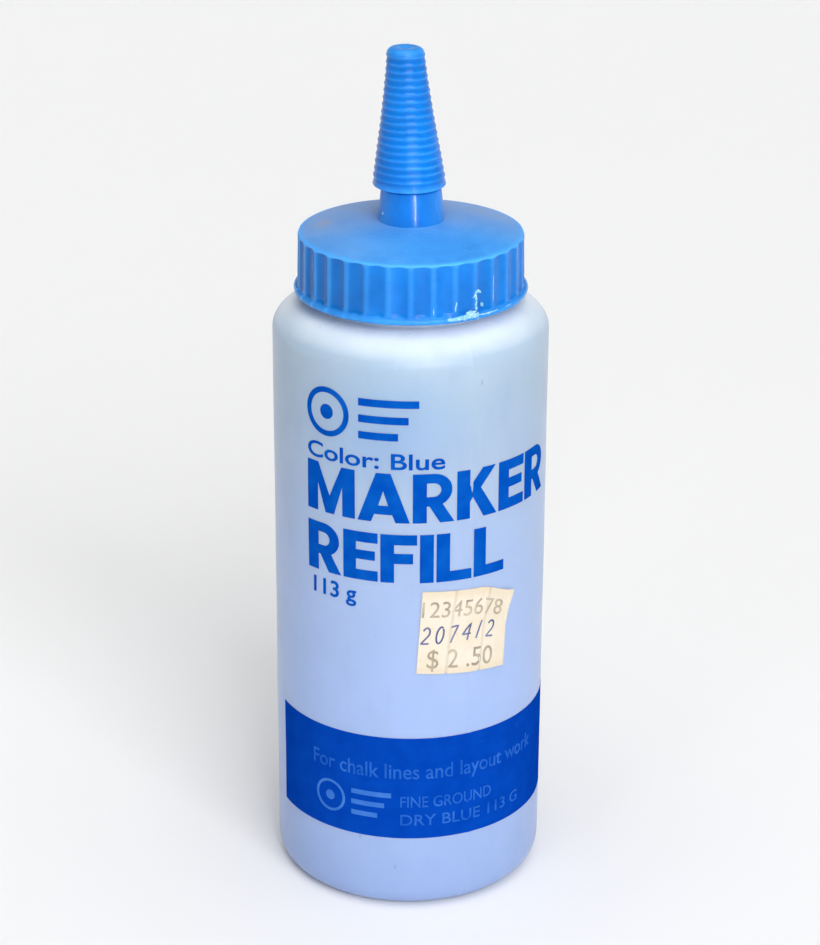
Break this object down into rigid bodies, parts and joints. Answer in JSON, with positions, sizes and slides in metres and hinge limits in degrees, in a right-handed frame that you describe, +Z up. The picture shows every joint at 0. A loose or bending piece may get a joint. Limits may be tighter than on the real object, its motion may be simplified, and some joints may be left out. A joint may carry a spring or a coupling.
{
  "type": "squeeze bottle of marking chalk",
  "caption": "Round translucent squeeze bottle of blue marking chalk powder, with a ribbed screw cap, a tapered spout and a ridged push-on tip cap, for filling chalk lines.",
  "frame": {"origin": "centre of the bottle's standing ring, on the surface that it stands on", "axes": "+Z up along the bottle's axis towards the tip, -Y out of the printed front, +X to the right as seen from the front"},
  "size_m": [0.049, 0.0492, 0.155],
  "materials": {
    "milky_bottle": "satin, translucent",
    "blue_chalk": "matte",
    "label_paper": "matte",
    "white_foam": "matte",
    "blue_cap": "satin",
    "blue_tip": "satin",
    "print_ink": "satin"
  },
  "bodies": {
    "bottle": {"bottle": "milky_bottle", "chalk_powder": "blue_chalk", "price_label": "label_paper"},
    "gasket": {"cap_gasket": "white_foam"},
    "cap": {"spout_cap": "blue_cap"},
    "tip": {"tip_cap": "blue_tip"}
  },
  "joints": [
    {"name": "cap_rise", "type": "slide", "parent": "bottle", "child": "gasket", "axis": [0, 0, 1], "range_m": [0, 0.0127]},
    {"name": "cap_turn", "type": "hinge", "parent": "gasket", "child": "cap", "pos_m": [0, 0, 0.1176], "axis": [0, 0, 1], "range_deg": [0, 1080]},
    {"name": "tip_pull", "type": "slide", "parent": "cap", "child": "tip", "axis": [0, 0, 1], "range_m": [0, 0.026]}
  ],
  "couplings": [
    {"joint": "cap_rise", "follows": "cap_turn", "m_per_rad": 0.0006737}
  ]
}
